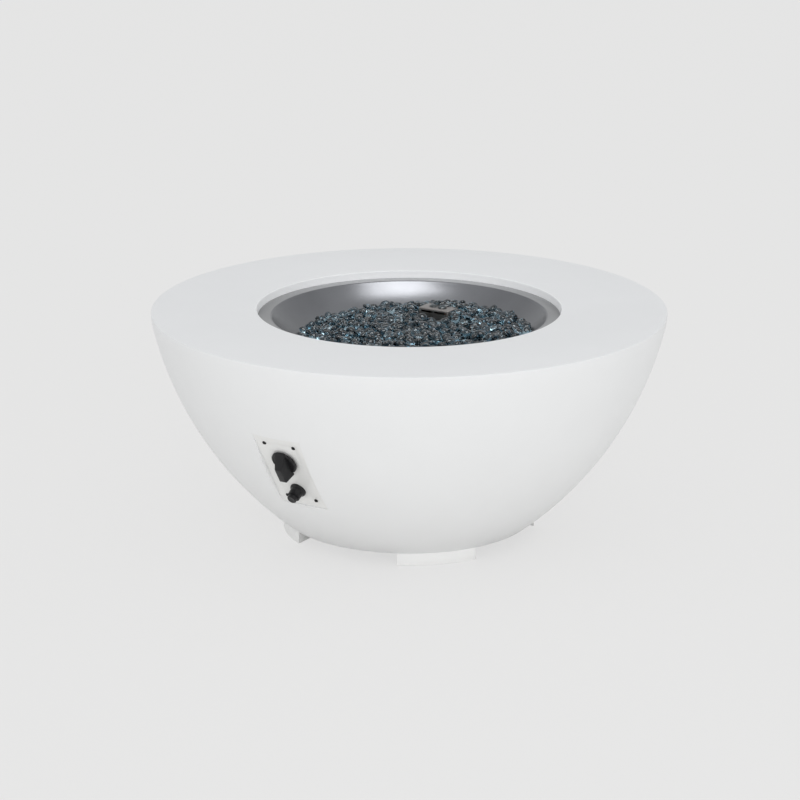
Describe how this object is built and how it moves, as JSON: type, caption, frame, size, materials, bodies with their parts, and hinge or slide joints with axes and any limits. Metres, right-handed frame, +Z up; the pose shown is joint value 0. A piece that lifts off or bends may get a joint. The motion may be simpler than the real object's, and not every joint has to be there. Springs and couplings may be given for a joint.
{
  "type": "gas fire bowl",
  "caption": "Round cast gas fire bowl: a deep white bowl on low feet, a sunken steel burner pan filled with fire glass, a pilot cover, and a side control plate with a knob and an igniter.",
  "frame": {"origin": "on the floor, below the centre of the bowl", "axes": "+Z up, -Y out through the control plate, +X to the right of someone who faces the control plate"},
  "size_m": [1.0668, 1.0664, 0.4738],
  "materials": {
    "cast_white": "smooth pale cast concrete",
    "pan_steel": "spun stainless sheet",
    "burner_steel": "stainless, dull",
    "zinc_steel": "zinc plated",
    "brass": "machined",
    "fire_glass": "crushed reflective glass",
    "hood_steel": "folded stainless sheet",
    "insulator_white": "fired, unglazed",
    "plate_white": "satin powder coat",
    "screw_black": "black oxide",
    "knob_black": "fine satin moulding",
    "spring_steel": "drawn wire",
    "cell_jacket": "plain printed can",
    "tube_alloy": "drawn tube",
    "flex_steel": "corrugated stainless hose",
    "lead_white": "silicone sleeve",
    "lead_copper": "bare copper capillary"
  },
  "bodies": {
    "root": {"bowl_shell": "cast_white", "foot_rear_right": "cast_white", "foot_rear_left": "cast_white", "foot_front_left": "cast_white", "foot_front_right": "cast_white", "burner_pan": "pan_steel", "star_burner": "burner_steel", "burner_locknut": "zinc_steel", "air_mixer": "zinc_steel", "gas_orifice": "brass", "glass_bed": "fire_glass", "pilot_hood": "hood_steel", "pilot_bracket": "zinc_steel", "electrode_insulator": "insulator_white", "spark_electrode": "burner_steel", "flame_sensor": "burner_steel", "pilot_nuts": "zinc_steel", "control_plate": "plate_white", "plate_screws": "screw_black", "valve_bonnet": "zinc_steel", "gas_valve_body": "brass", "safety_magnet": "zinc_steel", "igniter_housing": "knob_black", "igniter_nut": "knob_black", "igniter_battery": "cell_jacket", "igniter_spring": "spring_steel", "gas_inlet_fitting": "brass", "inlet_bracket": "zinc_steel", "supply_tube": "tube_alloy", "flex_connector": "flex_steel", "ignition_lead": "lead_white", "sensor_lead": "lead_copper"},
    "valve_plug": {"valve_plug": "brass", "knob_spring": "spring_steel"},
    "gas_knob": {"gas_knob": "knob_black", "valve_stem": "burner_steel"},
    "igniter_button": {"igniter_button": "knob_black"}
  },
  "joints": [
    {"name": "knob_turn", "type": "hinge", "parent": "root", "child": "valve_plug", "pos_m": [0, -0.45171, 0.26112], "axis": [0, -0.859, -0.512], "range_deg": [0, 180]},
    {"name": "knob_push", "type": "slide", "parent": "valve_plug", "child": "gas_knob", "axis": [0, 0.859, 0.512], "range_m": [0, 0.0035], "stiffness_N_per_m": 900, "springref_m": -0.002, "deforming": ["knob_spring"]},
    {"name": "igniter_press", "type": "slide", "parent": "root", "child": "igniter_button", "axis": [0, 0.859, 0.512], "range_m": [0, 0.003], "stiffness_N_per_m": 700, "springref_m": -0.002, "deforming": ["igniter_spring"]}
  ]
}
